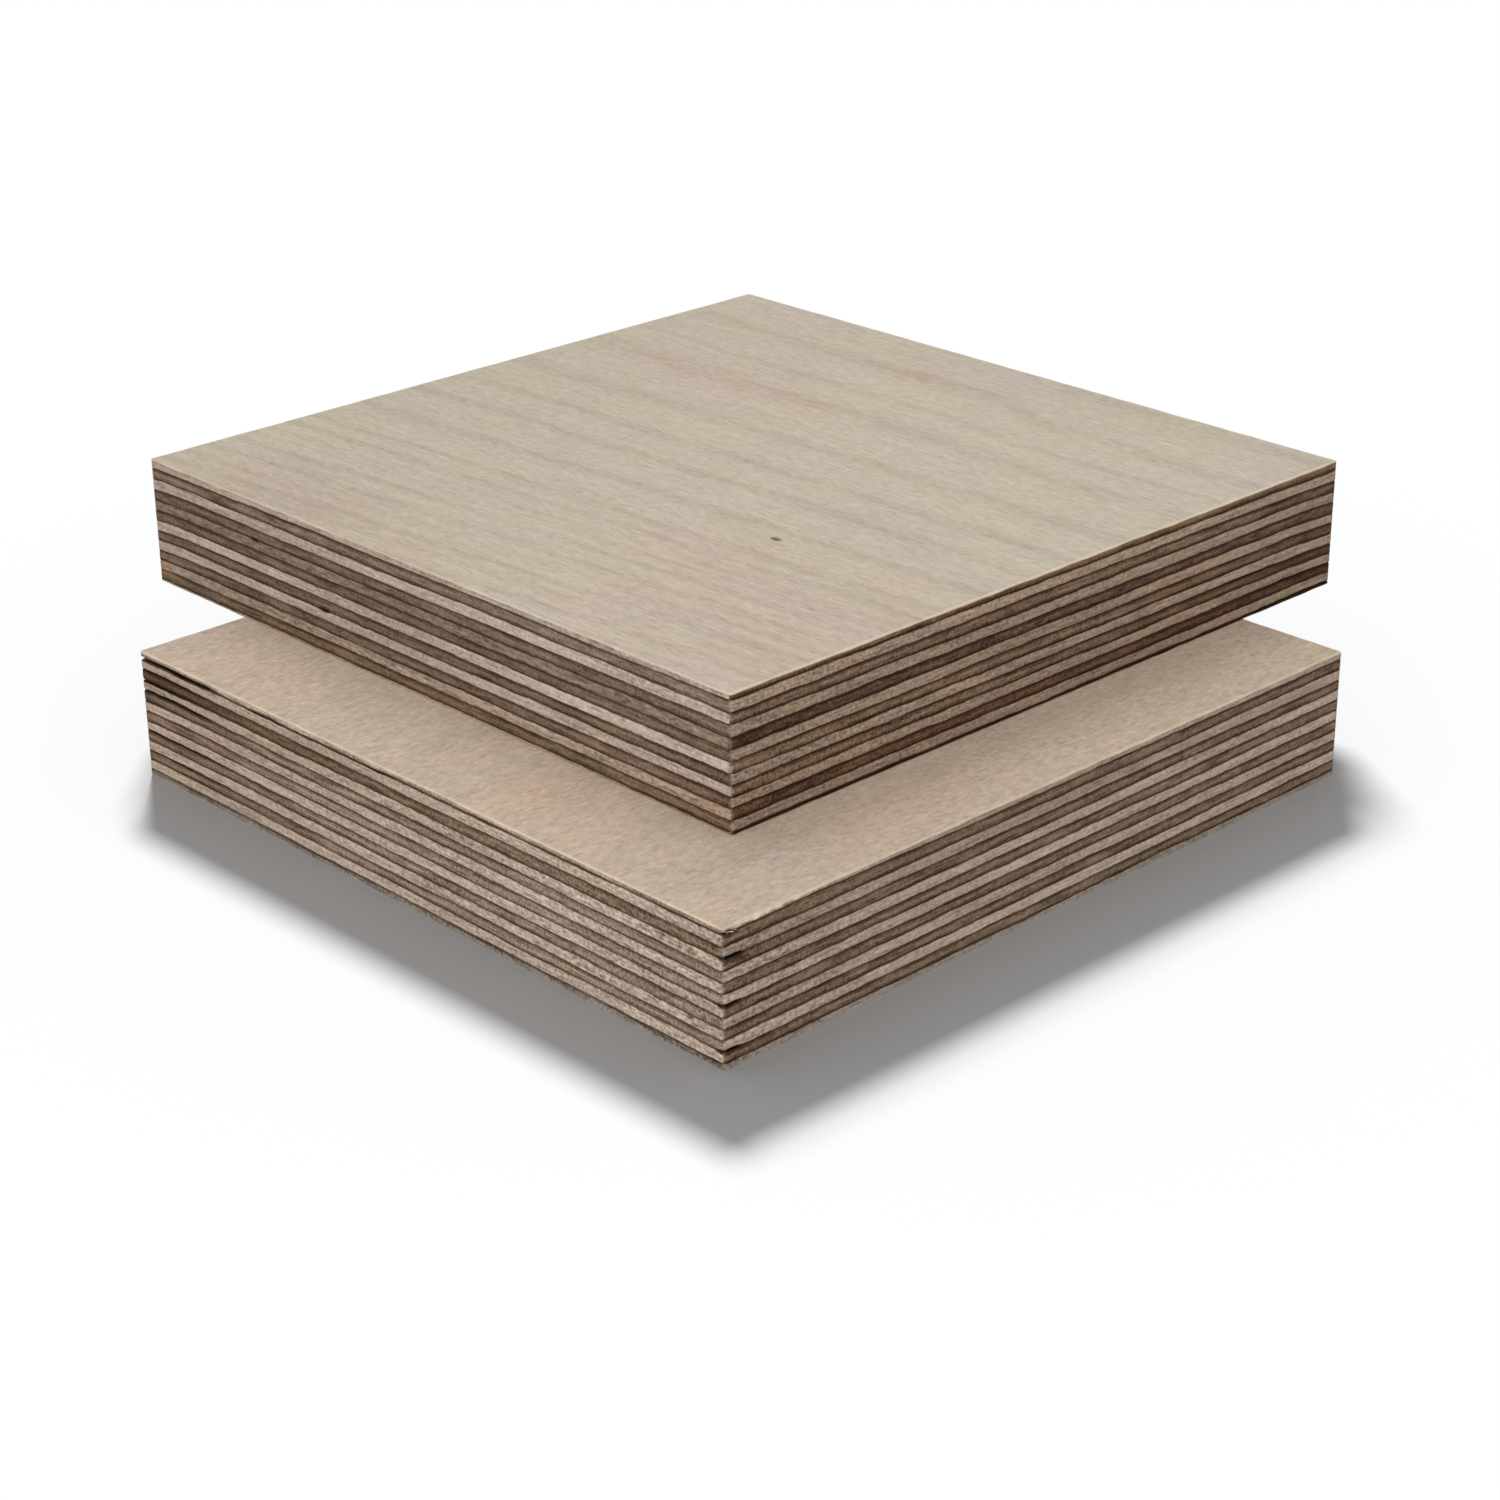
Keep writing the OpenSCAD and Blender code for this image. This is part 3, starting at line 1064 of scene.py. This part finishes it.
# Dark patches: painted shade on the lower face, plain darkening on the upper face
DARK_PATCHES_AND_SHADE = {
    "lower": ((98, 0, 12, 75, 0.70), (113, 0, 30, 60, 0.28)),
    "upper": ((0, 57, 45, 90, 0.26), (58, 0, 90, 14, 0.28), (20, 115, 34, 16, 0.50)),
}


def patch_strength(stains, panel, x, y):
    """How strongly a table of pink stains, or of dark patches and painted shade, marks a face at points of
    the plan.
    """
    u, v = plan_place(panel, x, y)
    marks = []
    for place_u, place_v, reach_u, reach_v, strength in stains[panel]:
        mark = np.exp(-(((u - place_u) / reach_u) ** 2) - ((v - place_v) / reach_v) ** 2)
        marks.append(strength * mark)
    return np.max(marks, axis=0)


# How deep sanding left the rings
RING_DEPTH = 0.02 * MM
# Pin knot of the upper face: place from the -X and +Y edges and reach each way in mm, depth of its dimple,
# where its dark edge starts and ends in reaches, and how dark it is
KNOT = (83.9, 75.8)
KNOT_SIZE = (1.05, 0.60, 1.0)
KNOT_DEPTH = 0.10 * MM
KNOT_EDGE = (0.35, 1.25)
KNOT_SHOWS = 0.90
KNOT_DARK = paint(90, 84, 68)


def face_relief(panel, x, y):
    """How far a face is sunk below level: a little at its growth rings, and a dimple at the pin knot."""
    sunk = RING_DEPTH * late_wood(panel, x, y)
    if panel == "upper":
        u, v = plan_place(panel, x, y)
        off = ((u - KNOT[0]) / KNOT_SIZE[0]) ** 2 + ((v - KNOT[1]) / KNOT_SIZE[1]) ** 2
        sunk += KNOT_DEPTH * np.exp(-off)
    return sunk


# Splinters at the lower panel's chipped front corner: mm from the corner along its +X side and down from the
# face, at root and tip
SPLINTERS = (
    ((2.9, 0.50), (1.6, 0.03)),
    ((2.2, 0.72), (0.8, 0.16)),
    ((1.7, 0.80), (0.4, 0.42)),
    ((0.2, 0.20), (0.9, 0.80)),
)
# Width of a splinter's root, and how far its outside and inside lie behind the sawn side, in mm
SPLINTER_WIDTH = 0.22
SPLINTER_DEPTHS = (0.04, 0.20)


def splinters(low, high):
    """Slivers of face veneer across the chip, as points and faces. Each is a spike on a three-sided root."""
    points, faces = [], []
    outside, inside = (high.x - depth * MM for depth in SPLINTER_DEPTHS)
    for root, tip in SPLINTERS:
        root_y, tip_y = (low.y + place[0] * MM for place in (root, tip))
        root_z, tip_z = (high.z - place[1] * MM for place in (root, tip))
        first = len(points)
        points.append((outside, root_y, root_z - SPLINTER_WIDTH / 2 * MM))
        points.append((outside, root_y, root_z + SPLINTER_WIDTH / 2 * MM))
        points.append((inside, root_y, root_z))
        points.append((outside, tip_y, tip_z))
        faces.append((first, first + 1, first + 2))
        faces += [(first + k, first + 3, first + (k + 1) % 3) for k in range(3)]
    return np.array(points), faces


FACE_VENEERS = {"lower": "birch", "upper": "crown"}
# Pale wood of the rubbed arrises, splinters and chips, with a painted highlight on the arrises
ARRIS_WOOD_AND_HIGHLIGHT = paint(226, 210, 184)
for panel in PANELS:
    ply = "face_veneer"
    grain = FACE_GRAIN[panel]
    points, faces, edge_faces, measures = outer_veneer(panel, ply, grain, face_relief)
    if panel == "lower":
        spikes, spike_faces = splinters(*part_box(f"{panel}_{ply}"))
        faces += [tuple(len(points) + corner for corner in face) for face in spike_faces]
        points = np.concatenate((points, spikes))
        measures = {name: np.append(values, np.zeros(len(spikes))) for name, values in measures.items()}
        measures["wear_and_highlight"][-len(spikes):] = 1.0
    x, y = points[:, 0], points[:, 1]
    measures["late_wood"] = late_wood(panel, x, y)
    measures["pink"] = patch_strength(PINK_STAINS, panel, x, y)
    # The tan measure holds the dark patches, which are painted shade on the lower face
    measures["tan"] = patch_strength(DARK_PATCHES_AND_SHADE, panel, x, y)
    edge = edge_material(panel, ply, grain, FACE_VENEERS[panel])
    finish = Finish(bpy.data.materials.new(f"{panel}_{ply}_face"), ply_seed(panel, ply))
    place = place_in_mm(finish)
    colour, height = sanded_face(finish, place, panel, measure(finish, "late_wood"))
    blush = ease(fleck(finish, place, grain, BLUSH_PATCH, ROUGH), *BLUSH_EDGE)
    colour = blend(finish, measure(finish, "pink") * blush, colour, BLUSH_CAST, "MULTIPLY")
    # Darkened by the dark patches, which are painted shade on the lower face
    colour = blend(finish, measure(finish, "tan"), colour, DARK_PATCH_AND_SHADE_CAST, "MULTIPLY")
    if panel == "upper":
        low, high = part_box(f"{panel}_{ply}")
        centre = (low.x / MM + KNOT[0], high.y / MM - KNOT[1], high.z / MM)
        off = finish.node("ShaderNodeVectorMath", {"operation": "SUBTRACT"}, {0: place, 1: centre})
        off = finish.node("ShaderNodeVectorMath", {"operation": "DIVIDE"}, {0: off, 1: KNOT_SIZE})
        reach = finish.node("ShaderNodeVectorMath", {"operation": "LENGTH"}, {0: off}, "Value")
        colour = blend(finish, KNOT_SHOWS * (1 - ease(reach, *KNOT_EDGE)), colour, KNOT_DARK)
    # Paler at the arrises and splinters: rubbed wood and a painted highlight
    colour = blend(finish, measure(finish, "wear_and_highlight"), colour, ARRIS_WOOD_AND_HIGHLIGHT)
    face = bare_wood(finish, colour, height, FACE_RELIEF)
    add_piece(panel, ply, points, faces, measures, [edge, face], edge_faces)

# Stage: a plain pale floor, a soft key light from the front left, a soft lamp above and behind, an even sky,
# and a lamp behind that only the floor takes, so that the stack's shadow falls towards the viewer.

scene = bpy.context.scene
# Floor: its width in m, how far it lies below the stack, its paint, and the even light that it throws back
FLOOR_SIZE = 8.0
FLOOR_DROP = 0.02 * MM
FLOOR_SEEN = (0.646, 0.650, 0.655, 1.0)
FLOOR_GLOW = 0.45
WHITE = (1.0, 1.0, 1.0, 1.0)


def seen_share(finish):
    """1 for what the camera sees, straight or mirrored or through glass, and 0 for light that bounces."""
    camera = finish.node("ShaderNodeLightPath", {}, {}, "Is Camera Ray")
    glossy = finish.node("ShaderNodeLightPath", {}, {}, "Is Glossy Ray")
    through = finish.node("ShaderNodeLightPath", {}, {}, "Is Transmission Ray")
    return ease(camera + glossy + through, 0.0, 1.0)


floor_mesh = bpy.data.meshes.new("floor")
half = FLOOR_SIZE / 2
corners = [(-half, -half), (half, -half), (half, half), (-half, half)]
floor_mesh.from_pydata([(*corner, -FLOOR_DROP) for corner in corners], [], [(0, 1, 2, 3)])
floor = bpy.data.objects.new("floor", floor_mesh)
scene.collection.objects.link(floor)
finish = Finish(bpy.data.materials.new("floor_paint"))
finish.material.cycles.emission_sampling = "NONE"
glow = finish.node("ShaderNodeEmission", {}, {"Color": WHITE, "Strength": FLOOR_GLOW})
painted = finish.node("ShaderNodeBsdfDiffuse", {}, {"Color": FLOOR_SEEN})
shown = finish.node("ShaderNodeMixShader", {}, {0: seen_share(finish), 1: glow, 2: painted})
floor_mesh.materials.append(finish.end("ShaderNodeOutputMaterial", shown))

SKY_LEVEL = 0.46
scene.world = bpy.data.worlds.new("studio")
sky = Finish(scene.world)
level = SKY_LEVEL + (1.0 - SKY_LEVEL) * seen_share(sky)
backdrop = sky.node("ShaderNodeBackground", {}, {"Color": WHITE, "Strength": level})
sky.end("ShaderNodeOutputWorld", backdrop)


def from_angles(azimuth, elevation):
    """Direction from the stack to something at that azimuth and elevation in degrees. Azimuth 0 is -Y."""
    turn, rise = math.radians(azimuth), math.radians(elevation)
    return Vector((math.sin(turn) * math.cos(rise), -math.cos(turn) * math.cos(rise), math.sin(rise)))


def sun(name, azimuth, elevation, level, spread):
    """A soft lamp far off, spread over some degrees. At level 1 a facing surface shows its own colour."""
    lamp = bpy.data.lights.new(name, "SUN")
    lamp.energy = math.pi * level
    lamp.angle = math.radians(spread)
    holder = bpy.data.objects.new(name, lamp)
    holder.rotation_euler = from_angles(azimuth, elevation).to_track_quat("Z", "Y").to_euler()
    scene.collection.objects.link(holder)
    return holder


floor_only = bpy.data.collections.new("floor_only")
floor_only.objects.link(floor)
stack_only = bpy.data.collections.new("stack_only")
stack_only.objects.link(floor)
stack_only.collection_objects[0].light_linking.link_state = "EXCLUDE"
key = sun("key", azimuth=20, elevation=35, level=0.58, spread=35)
key.light_linking.receiver_collection = stack_only
above = sun("above", azimuth=243, elevation=61, level=0.24, spread=40)
above.light_linking.receiver_collection = stack_only
behind = sun("behind", azimuth=230, elevation=43.5, level=1.58, spread=12)
behind.light_linking.receiver_collection = floor_only

# Where the camera stands, what it looks at, and its lens in pixels of the photo
CAMERA_AZIMUTH = 46.2864
CAMERA_ELEVATION = 24.2825
CAMERA_ROLL = -0.4394
CAMERA_DISTANCE = 389.873 * MM
CAMERA_TARGET = Vector((24.064, -21.054, 18.0)) * MM
FOCAL_PIXELS = 3156.98
IMAGE_PIXELS = 1500
SENSOR = 36.0
NEAREST_SEEN = 10 * MM
lens = bpy.data.cameras.new("camera")
lens.sensor_width = SENSOR
lens.lens = FOCAL_PIXELS / IMAGE_PIXELS * SENSOR
lens.clip_start = NEAREST_SEEN
camera = bpy.data.objects.new("camera", lens)
back = from_angles(CAMERA_AZIMUTH, CAMERA_ELEVATION)
turned = Matrix.Rotation(math.radians(CAMERA_ROLL), 4, "Z")
level_view = back.to_track_quat("Z", "Y").to_matrix().to_4x4()
camera.matrix_world = Matrix.Translation(CAMERA_TARGET + back * CAMERA_DISTANCE) @ level_view @ turned
scene.collection.objects.link(camera)
scene.camera = camera
scene.view_settings.view_transform = "Standard"
